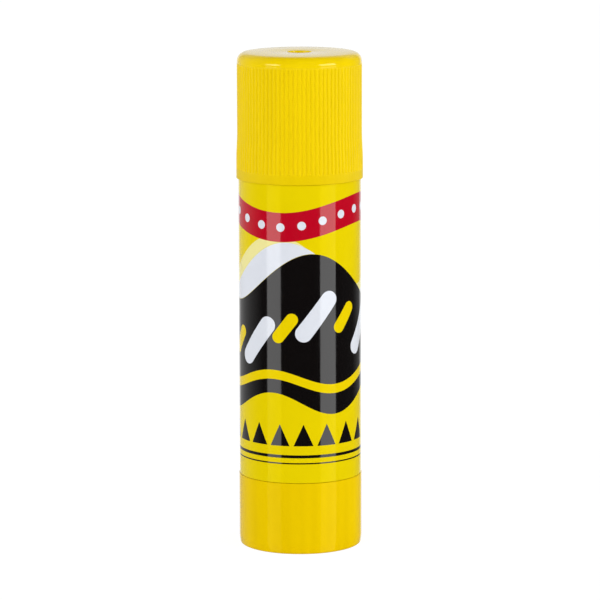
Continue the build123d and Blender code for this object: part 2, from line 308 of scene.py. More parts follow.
# %% Finish helpers
def new_material(name, **sockets):
    """A Principled material whose even values sit on the shader's own sockets."""
    made = bpy.data.materials.new(name)
    made.use_nodes = True
    shader = made.node_tree.nodes["Principled BSDF"]
    for key, value in sockets.items():
        shader.inputs[key.replace("_", " ")].default_value = value
    return made, made.node_tree, shader


def plug(tree, shader, **results):
    """Link results that vary over the surface to the shader's sockets."""
    for key, value in results.items():
        tree.links.new(value, shader.inputs[key.replace("_", " ")])


def object_place(tree):
    """The point on the surface, in Object coordinates."""
    return add_node(tree, "ShaderNodeTexCoord").outputs["Object"]


def noise(tree, place, size, detail=3.0):
    """Noise whose lumps are about size millimetres across."""
    return result(tree, "ShaderNodeTexNoise", {"Vector": place, "Scale": 1 / (size * MM), "Detail": detail})


def stretched(tree, place, along):
    """Object coordinates squeezed along Z, so that a pattern runs up the stick."""
    return result(tree, "ShaderNodeMapping", {"Vector": place, "Scale": (1, 1, 1 / along)})


def relief(tree, height, depth):
    """A bump of that many millimetres from a height of 0 to 1."""
    return result(tree, "ShaderNodeBump", {"Height": height, "Distance": depth * MM, "Strength": 1.0})


print("made the finish helpers")

# %% [markdown]
# ## Yellow plastic
# The cap, the barrel and the knob are moulded in one bright yellow plastic with a polished surface.
# Its colour varies a little where the melt flowed, and handling leaves faint marks in the gloss.
# Noise gives both at their real size, and a warm specular tint keeps the highlights yellow.

# %% Yellow plastic
DEEP_YELLOW = (0.770, 0.526, 0.0005, 1)
LIGHT_YELLOW = (0.840, 0.584, 0.001, 1)
WARM_TINT = (0.95, 0.72, 0.10, 1)


def moulded_yellow(name, deep, light, tint):
    """Glossy yellow plastic between a deep and a light shade, with the tint of its highlights."""
    made, tree, shader = new_material(name, IOR=1.5, Specular_IOR_Level=0.25, Specular_Tint=tint)
    place = object_place(tree)
    flow = noise(tree, stretched(tree, place, 3.0), 9.0, 2.0)
    lines = noise(tree, stretched(tree, place, 30.0), 1.7, 1.0)
    marks = noise(tree, stretched(tree, place, 12.0), 0.9, 5.0)
    pits = noise(tree, place, 0.25, 2.0)
    shade = maths(tree, "MULTIPLY_ADD", lines, 0.5, maths(tree, "MULTIPLY", flow, 0.5))
    colour = blended(tree, ranged(tree, shade, 0.35, 0.65, 0.0, 1.0), deep, light)
    polish = ranged(tree, marks, 0.35, 0.75, 0.05, 0.10)
    plug(tree, shader, Base_Color=colour, Roughness=polish, Normal=relief(tree, pits, 0.002))
    return made


yellow_plastic = moulded_yellow("yellow_plastic", DEEP_YELLOW, LIGHT_YELLOW, WARM_TINT)
print("made", yellow_plastic.name)

# %% [markdown]
# The cap is the same plastic, with its yellows a little lighter than the knob's as painted light for the
# brighter light near the top. Its top and shoulder are polished. Its ribs are satin, because they were cut
# into the mould and not polished after. The thin lip below them is darkened by a painted shade. Both changes
# follow the height, so a mask that is 1 below a level sets them.

# %% Cap plastic
# The cap's two yellows are painted light: lighter than the knob's for the brighter light near the top.
PAINTED_LIT_CAP_DEEP = (0.845, 0.605, 0.001, 1)
PAINTED_LIT_CAP_PALE = (0.890, 0.646, 0.001, 1)
LIP_HEIGHT = 1.45
# The lip's colour is multiplied by this painted shade.
LIP_PAINTED_SHADE = (0.93, 0.93, 0.93, 1)
POLISH_DEPTH = 1.9
SATIN = 0.40
POLISHED_TINT = (1.0, 0.90, 0.60, 1)
SATIN_TINT = (1.0, 0.76, 0.04, 1)


def below(tree, place, level, blend=0.2):
    """1 below a level and 0 above it, with a soft change between."""
    height = add_node(tree, "ShaderNodeSeparateXYZ", {0: place}).outputs["Z"]
    return ranged(tree, height, (level - blend) * MM, (level + blend) * MM, 1.0, 0.0)


cap_plastic_painted_light = moulded_yellow("cap_plastic_painted_light", PAINTED_LIT_CAP_DEEP, PAINTED_LIT_CAP_PALE, WHITE)
tree = cap_plastic_painted_light.node_tree
shader = tree.nodes["Principled BSDF"]
colour = shader.inputs["Base Color"].links[0].from_socket
polish = shader.inputs["Roughness"].links[0].from_socket
place = object_place(tree)
lip_painted_shade_mask = below(tree, place, cap_foot + LIP_HEIGHT)
ribs = below(tree, place, cap_top - POLISH_DEPTH)
plug(
    tree, shader,
    # Below the lip's level the colour gets a painted shade.
    Base_Color=blended(tree, lip_painted_shade_mask, colour, LIP_PAINTED_SHADE, "MULTIPLY"),
    Roughness=maths(tree, "MULTIPLY_ADD", ribs, SATIN, polish),
    Specular_Tint=blended(tree, ribs, POLISHED_TINT, SATIN_TINT),
)
shader.inputs["Specular IOR Level"].default_value = 0.5
print("made", cap_plastic_painted_light.name)

# %% [markdown]
# ## White plastic
# The cup and the lead screw are natural white plastic. A small share of subsurface light, which reaches
# 0.6 mm deep, makes them a little milky.

# %% White plastic
MILKY = (0.80, 0.80, 0.77, 1)
CHALKY = (0.88, 0.88, 0.86, 1)

white_plastic, tree, shader = new_material(
    "white_plastic", IOR=1.49, Subsurface_Weight=0.12, Subsurface_Scale=0.6 * MM
)
place = object_place(tree)
plug(
    tree, shader,
    Base_Color=blended(tree, noise(tree, place, 3.0), MILKY, CHALKY),
    Roughness=ranged(tree, noise(tree, place, 0.6), 0.3, 0.7, 0.32, 0.46),
    Normal=relief(tree, noise(tree, place, 0.3), 0.006),
)
print("made", white_plastic.name)

# %% [markdown]
# ## Solid glue
# The glue is a waxy solid with a soft, slightly translucent body. It has fine grain where it was cast and a
# few shallow dents, so its bump adds two noises.

# %% Solid glue
WAX_DEEP = (0.84, 0.83, 0.77, 1)
WAX_LIGHT = (0.92, 0.91, 0.87, 1)
DENT_SHARE = 3.0

solid_glue, tree, shader = new_material(
    "solid_glue",
    IOR=1.46,
    Subsurface_Weight=0.35,
    Subsurface_Radius=(1.0, 0.9, 0.75),
    Subsurface_Scale=1.2 * MM,
)
place = object_place(tree)
grain = noise(tree, place, 0.35)
dents = noise(tree, place, 2.2, 1.0)
surface_height = maths(tree, "ADD", maths(tree, "MULTIPLY", dents, DENT_SHARE), grain)
plug(
    tree, shader,
    Base_Color=blended(tree, noise(tree, place, 5.0), WAX_DEEP, WAX_LIGHT),
    Roughness=ranged(tree, grain, 0.3, 0.7, 0.38, 0.55),
    Normal=relief(tree, surface_height, 0.02),
)
print("made", solid_glue.name)

# %% [markdown]
# ## Turned shapes
# Every piece is round, so one helper turns a closed outline of radii and heights about the axis. A reshape
# function may push a point in or out by its angle, which is how keys, flats and grooves are cut. An angle
# of 0 faces the camera.

# %% Turned shapes
def even_angles(count):
    """Angles spaced evenly round the axis."""
    return [TURN * step / count for step in range(count)]


def turned_point(radius, height, angle):
    """The point at a radius, a height and an angle about the axis."""
    return (math.sin(angle) * radius * MM, -math.cos(angle) * radius * MM, height * MM)


def turned_mesh(name, outline, angles, reshape=None, whole=True):
    """Turn an outline of (radius, height) corners, in millimetres, through the angles."""
    points = []
    for angle in angles:
        for radius, height in outline:
            shaped = reshape(radius, height, angle) if reshape else radius
            points.append(turned_point(shaped, height, angle))
    count = len(outline)
    closed = outline[0][0] > 0
    faces = []
    for column in range(len(angles) if whole else len(angles) - 1):
        here = column * count
        beside = (column + 1) % len(angles) * count
        for row in range(count if closed else count - 1):
            upper = (row + 1) % count
            faces.append((here + row, beside + row, beside + upper, here + upper))
    made = bpy.data.meshes.new(name)
    made.from_pydata(points, [], faces)
    return made


print("10 mm in front of the axis is", turned_point(10, 0, 0))

# %% [markdown]
# Moulded edges are never sharp, and their small roundings catch the light. A corner of an outline may carry
# a third number, its rounding, and this helper puts an arc of that radius in its place.

# %% Rounded corners
def rounded(outline, steps=5):
    """Replace each corner (radius, height, rounding) by points on its arc."""
    made = []
    count = len(outline)
    for index, corner in enumerate(outline):
        if len(corner) == 2:
            made.append(corner)
            continue
        here_r, here_z, size = corner
        ways = []
        for other in (outline[index - 1], outline[(index + 1) % count]):
            length = math.hypot(other[0] - here_r, other[1] - here_z)
            ways.append(((other[0] - here_r) / length, (other[1] - here_z) / length))
        cosine = max(-1.0, min(1.0, ways[0][0] * ways[1][0] + ways[0][1] * ways[1][1]))
        half_angle = math.acos(cosine) / 2
        setback = size / math.tan(half_angle)
        middle = (ways[0][0] + ways[1][0], ways[0][1] + ways[1][1])
        scale = size / math.sin(half_angle) / math.hypot(*middle)
        centre = (here_r + middle[0] * scale, here_z + middle[1] * scale)
        first, last = (
            math.atan2(here_z + way_z * setback - centre[1], here_r + way_r * setback - centre[0])
            for way_r, way_z in ways
        )
        turn = (last - first + math.pi) % TURN - math.pi
        for step in range(steps + 1):
            angle = first + turn * step / steps
            made.append((centre[0] + size * math.cos(angle), centre[1] + size * math.sin(angle)))
    return made


print("one rounded corner becomes", len(rounded([(0, 0), (1, 0, 0.2), (1, 1)])) - 2, "points")

# %% [markdown]
# A turned mesh has doubles at its poles and at steps without height. They are merged, the faces are turned
# outwards, and edges up to a crease angle are shaded smooth. A closed skin has no open edges, so their count
# is printed. A second helper puts the piece in place of its solid.

# %% Tidy a mesh and put it in place
def tidy(mesh, crease=40.0):
    """Merge doubles, turn the faces outwards and shade smooth up to a crease angle."""
    work = bmesh.new()
    work.from_mesh(mesh)
    bmesh.ops.remove_doubles(work, verts=work.verts, dist=0.0005 * MM)
    bmesh.ops.dissolve_degenerate(work, edges=work.edges, dist=0.0002 * MM)
    bmesh.ops.recalc_face_normals(work, faces=work.faces)
    open_edges = sum(1 for edge in work.edges if len(edge.link_faces) != 2)
    work.to_mesh(mesh)
    work.free()
    mesh.shade_smooth()
    mesh.set_sharp_from_angle(angle=math.radians(crease))
    print(f"{mesh.name}: {len(mesh.polygons)} faces, {open_edges} open edges")
    return mesh


def show(name, mesh, body, node, material, slot):
    """Put a finished mesh in the scene as the piece that stands for a solid."""
    mesh.materials.clear()
    mesh.materials.append(material)
    piece = bpy.data.objects.new(name, mesh)
    bpy.context.scene.collection.objects.link(piece)
    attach(piece, body)
    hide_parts(node)
    print(f"{name} rides on {body} in place of {node}, slot {slot}")


# %% [markdown]
# ## Cap
# The cap is a thin moulded cup. Ninety broad ribs with narrow grooves between them give a grip, above a
# plain lip that flares by a fraction of a millimetre. All ribs are alike, so only one four-degree wedge is
# modelled, and Geometry Nodes copies it round the axis. The grooves are 0.03 mm shallower than in the solids,
# because at that depth they shade as in the photograph, and the rim reaches a hair lower, which keeps the
# seam thin.

# %% Cap outline
RIB_COUNT = 90
GROOVE_DEPTH = 0.13
RIB_TOP = cap_top - 2.0
RIB_FOOT = cap_foot + LIP_HEIGHT
CAP_WALL_RADIUS = cap_radius - 0.17
CAP_BORE = 9.70
CAP_ROOF = cap_top - 1.2
SEAL_OUTER = 9.325
SEAL_INNER = 8.775
SEAL_FOOT = 76.2
RIM_REACH = 0.135
DIMPLE_RADIUS = 2.0
DIMPLE_FLOOR = cap_top - 0.35
GATE_TOP = DIMPLE_FLOOR + 0.12

cap_outline = rounded([
    (0, GATE_TOP),
    (0.65, GATE_TOP, 0.06),
    (0.72, DIMPLE_FLOOR),
    (DIMPLE_RADIUS, DIMPLE_FLOOR, 0.15),
    (DIMPLE_RADIUS, cap_top, 0.18),
    (CAP_WALL_RADIUS, cap_top, 1.5),
    (CAP_WALL_RADIUS, RIB_TOP + 0.12),
    (CAP_WALL_RADIUS, RIB_TOP),
    (CAP_WALL_RADIUS, RIB_TOP - 0.15),
    (CAP_WALL_RADIUS, RIB_TOP - 0.4),
    (CAP_WALL_RADIUS, cap_foot + 7.5),
    (CAP_WALL_RADIUS + 0.02, cap_foot + 6.6),
    (CAP_WALL_RADIUS + 0.15, cap_foot + 4.1),
    (cap_radius, cap_foot + 3.2),
    (cap_radius, RIB_FOOT + 0.11),
    (cap_radius, RIB_FOOT + 0.04),
    (cap_radius, RIB_FOOT),
    (cap_radius, cap_foot - RIM_REACH, 0.06),
    (CAP_BORE + 0.3, cap_foot - RIM_REACH, 0.05),
    (CAP_BORE, cap_foot + 0.3),
    (CAP_BORE, CAP_ROOF, 0.2),
    (SEAL_OUTER, CAP_ROOF),
    (SEAL_OUTER, SEAL_FOOT, 0.1),
    (SEAL_INNER, SEAL_FOOT, 0.1),
    (SEAL_INNER, CAP_ROOF),
    (0, CAP_ROOF),
])
print("cap outline:", len(cap_outline), "points")

# %% [markdown]
# A rib is nearly flat in the middle and falls away in the outer half of the wedge. A short table gives the
# depth at a few stations, and the wedge gets one column of points at each. The grooves' ends run out in a
# curve.

# %% One wedge of the cap
GROOVE_STATIONS = (
    (0.0, 0.0), (0.3, 0.02), (0.52, 0.10), (0.62, 0.34), (0.72, 0.66), (0.86, 0.93), (1.0, 1.0)
)
GROOVE_TOP = RIB_TOP + 0.05
FOOT_RUN_OUT = 0.1
TOP_RUN_OUT = 0.4


def groove_depth(turn_share):
    """Depth of the groove, from 0 in the middle of a rib to 1 at the wedge's edge."""
    for (low, first), (high, second) in zip(GROOVE_STATIONS, GROOVE_STATIONS[1:]):
        if turn_share <= high + 1e-9:
            return first + (second - first) * (turn_share - low) / (high - low)
    return 1.0


def ribbed(radius, height, angle):
    """Cut the grooves into the outer wall, with rounded ends at the top and the foot."""
    if radius < CAP_WALL_RADIUS - 0.01 or not RIB_FOOT < height < GROOVE_TOP:
        return radius
    run_out = min(1.0, (height - RIB_FOOT) / FOOT_RUN_OUT, (GROOVE_TOP - height) / TOP_RUN_OUT)
    return radius - GROOVE_DEPTH * groove_depth(abs(angle) / half_wedge) * math.sqrt(max(run_out, 0.0))


half_wedge = math.pi / RIB_COUNT
right_side = [share for share, depth in GROOVE_STATIONS]
shares = [-share for share in reversed(right_side[1:])] + right_side
wedge_angles = [half_wedge * share for share in shares]
wedge = turned_mesh("cap_wedge", cap_outline, wedge_angles, ribbed, whole=False)
print("wedge:", len(wedge.polygons), "faces")

# %% [markdown]
# Points at the origin each carry one copy of the wedge, turned by its index. Realize Instances makes the
# copies real, and then the shared edges are merged, so that the cap is one closed skin. The tree's opening
# and end are helpers, because the lead screw's tree has the same ones.

# %% Geometry tree that repeats a wedge round the axis
def open_tree(name, **kinds):
    """A geometry tree with an input for each name, and the sockets that the inputs arrive at."""
    tree = bpy.data.node_groups.new(name, "GeometryNodeTree")
    for key, kind in kinds.items():
        tree.interface.new_socket(key.replace("_", " "), in_out="INPUT", socket_type="NodeSocket" + kind)
    tree.interface.new_socket("Piece", in_out="OUTPUT", socket_type="NodeSocketGeometry")
    return tree, add_node(tree, "NodeGroupInput").outputs


def end_tree(tree, geometry, material, weld=None):
    """Make the copies real, merge what lies within the weld, and set the material."""
    made = result(tree, "GeometryNodeRealizeInstances", {"Geometry": geometry})
    if weld is not None:
        made = result(tree, "GeometryNodeMergeByDistance", {"Geometry": made, "Distance": weld})
    made = result(tree, "GeometryNodeSetMaterial", {"Geometry": made, "Material": material})
    add_node(tree, "NodeGroupOutput", {"Piece": made})
    print(f"tree {tree.name}: {len(tree.nodes)} nodes")
    return tree


def round_tree(name):
    """A tree that copies a wedge round the axis."""
    tree, given = open_tree(name, Wedge="Geometry", Count="Int", Weld="Float", Material="Material")
    index = result(tree, "GeometryNodeInputIndex")
    step = maths(tree, "DIVIDE", TURN, given["Count"])
    turn = result(tree, "ShaderNodeCombineXYZ", {"Z": maths(tree, "MULTIPLY", index, step)})
    points = result(tree, "GeometryNodePoints", {"Count": given["Count"]})
    inputs = {"Points": points, "Instance": given["Wedge"], "Rotation": turn}
    copies = result(tree, "GeometryNodeInstanceOnPoints", inputs)
    return end_tree(tree, copies, given["Material"], given["Weld"])


around_axis = round_tree("around_axis")

# %% [markdown]
# A tree runs as a modifier. Its inputs are set by their identifiers, and the evaluated result is copied out
# as a plain mesh. Then the modifier goes, so that the finished piece carries none.

# %% Cap
WELD = 0.001


def grown(name, mesh, tree, **values):
    """Run a geometry tree on a mesh and return the result as a plain mesh."""
    host = bpy.data.objects.new(name, mesh)
    bpy.context.scene.collection.objects.link(host)
    modifier = host.modifiers.new(tree.name, "NODES")
    modifier.node_group = tree
    for item in tree.interface.items_tree:
        if item.in_out == "INPUT" and item.name in values:
            modifier[item.identifier] = values[item.name]
    depsgraph = bpy.context.evaluated_depsgraph_get()
    made = bpy.data.meshes.new_from_object(host.evaluated_get(depsgraph), depsgraph=depsgraph)
    host.modifiers.clear()
    bpy.data.objects.remove(host)
    made.name = name
    return made


cap_mesh = grown("cap_skin", wedge, around_axis, Count=RIB_COUNT, Weld=WELD * MM, Material=cap_plastic_painted_light)
show("cap_ribbed", tidy(cap_mesh), "cap", "cap", cap_plastic_painted_light, "yellow_plastic")

# %% [markdown]
# ## Knob
# The knob is a plain round cup that tucks in a little at the foot. Its rims are softly rounded and catch the
# light along the seam. Its bore has a shallow groove for the barrel's snap bead, and a boss with a six-sided
# socket holds the lead screw's foot. The socket is round in the outline, and a reshape function moves its
# points out to the flats of a hexagon.

# %% Knob skin
KNOB_BORE = 9.62
KNOB_RECESS = 0.8
KNOB_RING = knob_radius - 1.3
KNOB_FLOOR = 2.0
SNAP_LEVEL = 5.8
SNAP_REACH = 0.25
SNAP_GROOVE_HALF = 0.62
BOSS_RADIUS = 4.1
BOSS_TOP = 8.0
SOCKET_FLAT = 2.25
SOCKET_GAP = 0.05
FOOT_FLAT = SOCKET_FLAT - SOCKET_GAP

knob_outline = rounded([
    (0, KNOB_RECESS),
    (KNOB_RING, KNOB_RECESS, 0.2),
    (KNOB_RING, knob_foot, 0.2),
    (knob_radius - 0.15, knob_foot, 0.35),
    (knob_radius - 0.01, knob_foot + 1.35),
    (knob_radius, knob_foot + 1.7),
    (knob_radius, knob_top + RIM_REACH, 0.04),
    (KNOB_BORE, knob_top + RIM_REACH, 0.05),
    (KNOB_BORE, SNAP_LEVEL + SNAP_GROOVE_HALF),
    (KNOB_BORE + SNAP_REACH, SNAP_LEVEL),
    (KNOB_BORE, SNAP_LEVEL - SNAP_GROOVE_HALF),
    (KNOB_BORE, KNOB_FLOOR, 0.3),
    (BOSS_RADIUS, KNOB_FLOOR),
    (BOSS_RADIUS, BOSS_TOP, 0.15),
    (SOCKET_FLAT, BOSS_TOP),
    (SOCKET_FLAT, KNOB_FLOOR),
    (0, KNOB_FLOOR),
])


def off_nearest(angle, count):
    """Angle from the nearest of so many marks, spaced evenly round the axis."""
    half_pitch = TURN / count / 2
    return (angle + half_pitch) % (2 * half_pitch) - half_pitch


def six_sided(radius, height, angle):
    """Move a point of the socket's or the foot's round wall out to the flats of a hexagon."""
    return radius / math.cos(off_nearest(angle, 6)) if radius in (SOCKET_FLAT, FOOT_FLAT) else radius


knob_skin = tidy(turned_mesh("knob_skin", knob_outline, even_angles(240), six_sided))

# %% [markdown]
# Six gussets stiffen the boss. One is modelled as a block that sinks a little into the boss and the floor,
# and the tree that made the cap's ribs copies it round.

# %% Gussets
GUSSET_COUNT = 6
GUSSET_REACH = 7.7
GUSSET_HALF = 0.45
GUSSET_HEIGHT = 3.2
SINK = 0.2


def block(name, low, high):
    """A closed box between two corners, in millimetres."""
    sides = [(first * MM, last * MM) for first, last in zip(low, high)]
    corners = [(x, y, z) for x in sides[0] for y in sides[1] for z in sides[2]]
    faces = [(0, 1, 3, 2), (4, 6, 7, 5), (0, 4, 5, 1), (2, 3, 7, 6), (0, 2, 6, 4), (1, 5, 7, 3)]
    made = bpy.data.meshes.new(name)
    made.from_pydata(corners, [], faces)
    return made


def joined(name, *meshes):
    """One mesh from several."""
    work = bmesh.new()
    for mesh in meshes:
        work.from_mesh(mesh)
    made = bpy.data.meshes.new(name)
    work.to_mesh(made)
    work.free()
    return made


gusset_low = (BOSS_RADIUS - SINK, -GUSSET_HALF, KNOB_FLOOR - SINK)
gusset_high = (GUSSET_REACH, GUSSET_HALF, KNOB_FLOOR + GUSSET_HEIGHT)
gusset = block("gusset", gusset_low, gusset_high)
gussets = grown("gussets", gusset, around_axis, Count=GUSSET_COUNT, Weld=0.0, Material=yellow_plastic)
knob_mesh = tidy(joined("knob_mesh", knob_skin, gussets))
show("knob_smooth", knob_mesh, "knob", "knob", yellow_plastic, "yellow_plastic")

# %% [markdown]
# ## Barrel
# The barrel is a tube with a thinner neck for the cap and a spigot for the knob. Four keys run down its
# bore, and show from above with the cap off. Two low beads on the neck grip the cap, and one on the spigot
# snaps into the knob's groove.

# %% Barrel outline
BORE = 8.6
NECK = 9.5
KEY_FOOT = 12.35
KEY_TOP = 74.85
TUBE_FOOT = KEY_FOOT
TUBE_TOP = 63.55
SNAP_HALF = 0.5
GRIP_REACH = 0.12
GRIP_HALF = 0.4

grip_beads = []
for grip_level in (66.15, 71.95):
    grip_beads += [
        (NECK, grip_level - GRIP_HALF),
        (NECK + GRIP_REACH, grip_level, 0.2),
        (NECK, grip_level + GRIP_HALF),
    ]
barrel_outline = rounded([
    (BORE, barrel_foot),
    (NECK - 0.3, barrel_foot, 0.1),
    (NECK, barrel_foot + 0.4),
    (NECK, SNAP_LEVEL - SNAP_HALF),
    (NECK + SNAP_REACH, SNAP_LEVEL),
    (NECK, SNAP_LEVEL + SNAP_HALF),
    (NECK, TUBE_FOOT),
    (tube_radius, TUBE_FOOT, 0.12),
    (tube_radius, TUBE_TOP, 0.12),
    (NECK, TUBE_TOP, 0.15),
    *grip_beads,
    (NECK, barrel_top, 0.35),
    (BORE, barrel_top, 0.2),
    (BORE, KEY_TOP + 0.01),
    (BORE, KEY_TOP),
    (BORE, KEY_FOOT),
    (BORE, KEY_FOOT - 0.01),
])
print("barrel outline:", len(barrel_outline), "points")

# %% [markdown]
# A key has upright sides, so the barrel needs two angles close together at each side: one on the key and
# one just off it. The grooves in the glue are cut in the same way.

# %% Barrel
KEY_COUNT = 4
KEY_HEIGHT = 0.45
KEY_HALF = 0.55
ON_EDGE = 0.001


def edged_angles(count, half_width, radius, step):
    """Even angles, and two at each side of the four keys or slots, a small step apart."""
    angles = set(even_angles(count))
    edge = half_width / radius
    for quarter in range(KEY_COUNT):
        for off in (-edge - step, -edge, edge, edge + step):
            angles.add((quarter * TURN / KEY_COUNT + off) % TURN)
    return sorted(angles)


def keyed(radius, height, angle):
    """Stand the four keys up inside the bore."""
    if radius > BORE + ON_EDGE or not KEY_FOOT <= height <= KEY_TOP:
        return radius
    off = abs(off_nearest(angle, KEY_COUNT))
    return radius - KEY_HEIGHT if off * BORE < KEY_HALF + ON_EDGE else radius


barrel_angles = edged_angles(256, KEY_HALF, BORE, 0.0005)
barrel_mesh = tidy(turned_mesh("barrel_skin", barrel_outline, barrel_angles, keyed))
show("barrel_tube", barrel_mesh, "barrel", "barrel", yellow_plastic, "yellow_plastic")

# %% [markdown]
# ## Glue
# The glue fills the cup and stands bare above it, with a softly rounded end. A ring in the cup's wall holds
# it, and its bore leaves room for the lead screw. The barrel's keys have left four grooves in it, which show
# when the stick is wound up.

# %% Glue
GLUE_RADIUS = 8.45
GLUE_BORE = 3.1
BORE_TOP = 63.3
PLUG_RADIUS = 7.52
CUP_RIM = 44.0
RING_LEVEL = CUP_RIM - 3.5
RING_HALF = 0.63
RING_DEPTH = 0.35
SLOT_HALF = 0.70
SLOT_FLOOR = 8.0

glue_outline = rounded([
    (0, BORE_TOP),
    (GLUE_BORE, BORE_TOP),
    (GLUE_BORE, glue_foot),
    (PLUG_RADIUS, glue_foot),
    (PLUG_RADIUS, RING_LEVEL - RING_HALF),
    (PLUG_RADIUS - RING_DEPTH, RING_LEVEL),
    (PLUG_RADIUS, RING_LEVEL + RING_HALF),
    (PLUG_RADIUS, CUP_RIM),
    (GLUE_RADIUS, CUP_RIM),
    (GLUE_RADIUS, glue_top, 0.6),
    (0, glue_top),
])


def slotted(radius, height, angle):
    """Press the keys' four grooves into the side of the glue."""
    off = abs(off_nearest(angle, KEY_COUNT))
    return min(radius, SLOT_FLOOR) if off * GLUE_RADIUS < SLOT_HALF + ON_EDGE else radius


glue_angles = edged_angles(192, SLOT_HALF, GLUE_RADIUS, 0.004)
glue_mesh = tidy(turned_mesh("glue_skin", glue_outline, glue_angles, slotted))
show("glue_column", glue_mesh, "carriage", "glue", solid_glue, "solid_glue")

# %% [markdown]
# ## Lead screw
# The lead screw is a thin shaft with a six-sided foot, a flange and one coarse right-hand ridge. The ridge
# follows a rule, so a second geometry tree makes it: a spiral curve with a tapered section run along it.
# Turning the curve by its foot's height over the lead makes the ridge mesh with the nut. The section stands
# square to the curve, so its widths, which are meant along the shaft, shrink by the slope's cosine.

# %% Geometry tree that runs a ridge up a shaft
SECTION_TURN = -math.pi / 2
STEPS_PER_TURN = 48


def ridge_tree(name):
    """A tree that runs a spiral ridge up a shaft."""
    tree, given = open_tree(
        name, Shaft="Geometry", Lead="Float", Foot="Float", Rise="Float", Root="Float", Height="Float",
        Root_Width="Float", Crest_Width="Float", Material="Material",
    )
    middle = maths(tree, "MULTIPLY_ADD", given["Height"], 0.5, given["Root"])
    spiral = result(tree, "GeometryNodeCurveSpiral", {
        "Resolution": STEPS_PER_TURN,
        "Rotations": maths(tree, "DIVIDE", given["Rise"], given["Lead"]),
        "Start Radius": middle,
        "End Radius": middle,
        "Height": given["Rise"],
        "Reverse": True,
    })
    upright = result(tree, "GeometryNodeSetCurveNormal", {"Curve": spiral}, mode="Z_UP")
    slope = maths(tree, "ARCTAN2", given["Lead"], maths(tree, "MULTIPLY", middle, TURN))
    squeeze = maths(tree, "COSINE", slope)
    section = result(tree, "GeometryNodeCurvePrimitiveQuadrilateral", {
        "Height": given["Height"],
        "Bottom Width": maths(tree, "MULTIPLY", given["Root Width"], squeeze),
        "Top Width": maths(tree, "MULTIPLY", given["Crest Width"], squeeze),
        "Offset": 0.0,
    }, mode="TRAPEZOID")
    section = result(tree, "GeometryNodeTransform", {"Geometry": section, "Rotation": (0, 0, SECTION_TURN)})
    inputs = {"Curve": upright, "Profile Curve": section, "Fill Caps": True}
    ridge = result(tree, "GeometryNodeCurveToMesh", inputs)
    start = maths(tree, "MULTIPLY", maths(tree, "DIVIDE", given["Foot"], given["Lead"]), TURN)
    lift = result(tree, "ShaderNodeCombineXYZ", {"Z": given["Foot"]})
    turn = result(tree, "ShaderNodeCombineXYZ", {"Z": start})
    inputs = {"Geometry": ridge, "Translation": lift, "Rotation": turn}
    ridge = result(tree, "GeometryNodeTransform", inputs)
    whole = add_node(tree, "GeometryNodeJoinGeometry", {"Geometry": ridge})
    tree.links.new(given["Shaft"], whole.inputs[0])
    return end_tree(tree, whole.outputs[0], given["Material"])


ridge_up_shaft = ridge_tree("ridge_up_shaft")

# %% [markdown]
# The shaft is turned like the other pieces, with a foot a little smaller than the socket. The ridge starts
# inside the shaft's core, so the two meet without a gap.

# %% Lead screw
SCREW_CORE = 2.1
FLANGE_TOP = BOSS_TOP + 1.0
TIP_CHAMFER = 0.6
RIDGE = {
    "Lead": 5.0, "Foot": 12.05, "Rise": 49.1,
    "Root": 1.8, "Height": 1.1, "Root Width": 2.1, "Crest Width": 1.0,
}

screw_foot, screw_tip, flange_radius = span("spindle")
shaft_outline = rounded([
    (0, screw_foot),
    (FOOT_FLAT, screw_foot),
    (FOOT_FLAT, BOSS_TOP),
    (flange_radius, BOSS_TOP, 0.1),
    (flange_radius, FLANGE_TOP, 0.1),
    (SCREW_CORE, FLANGE_TOP, 0.15),
    (SCREW_CORE, screw_tip - TIP_CHAMFER),
    (SCREW_CORE - TIP_CHAMFER, screw_tip),
    (0, screw_tip),
])
shaft = tidy(turned_mesh("shaft", shaft_outline, even_angles(60), six_sided))
ridge_sizes = {key: size * MM for key, size in RIDGE.items()}
screw_mesh = grown("screw_skin", shaft, ridge_up_shaft, Material=white_plastic, **ridge_sizes)
show("lead_screw", tidy(screw_mesh, 35), "knob", "spindle", white_plastic, "white_plastic")

# %% [markdown]
# ## Cup
# The cup shows only through the open neck, and its solid already has the right shape, so it stays as it is
# and gets the white plastic.

# %% Cup
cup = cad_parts["piston"]
cup.data.materials.clear()
cup.data.materials.append(white_plastic)
print("cup wears", white_plastic.name)

# %% [markdown]
# ## Label film
# The label is one strip of printed film, wrapped once round the tube and lapped over itself down the back.
# It is a thin closed shell along a spiral, so its free edge stands up by the film's own thickness. It reaches
# a hair closer to the cap and the knob than in the solids, which keeps both seams thin.

# %% Size and path of the film
FILM = 0.09
FILM_INNER = tube_radius + 0.01
LAP = 3.0
CLIMB = 1.2
FOOT_REACH = 0.06
TOP_REACH = 0.11

lap_turn = LAP / FILM_INNER
film_length = (TURN + lap_turn) * (FILM_INNER + FILM / 2)
film_foot = label_foot - FOOT_REACH
film_top = label_top + TOP_REACH
film_height = film_top - film_foot


def film_radius(angle):
    """Inner radius along the strip, which climbs onto its own start near the end."""
    start_again = TURN - CLIMB / FILM_INNER
    climb = max(0.0, min(1.0, (angle - start_again) / (CLIMB / FILM_INNER)))
    return FILM_INNER + FILM * climb * climb * (3 - 2 * climb)


print(f"film {film_length:.1f} x {film_height:.1f} mm")

# %% [markdown]
# Each station along the strip is a ring of four points. Faces join each ring to the next, and two more close
# the ends. The UV map runs from 0 to 1 along the strip and up it, as a printer would lay the artwork out.

# %% Label skin
STATIONS = 288

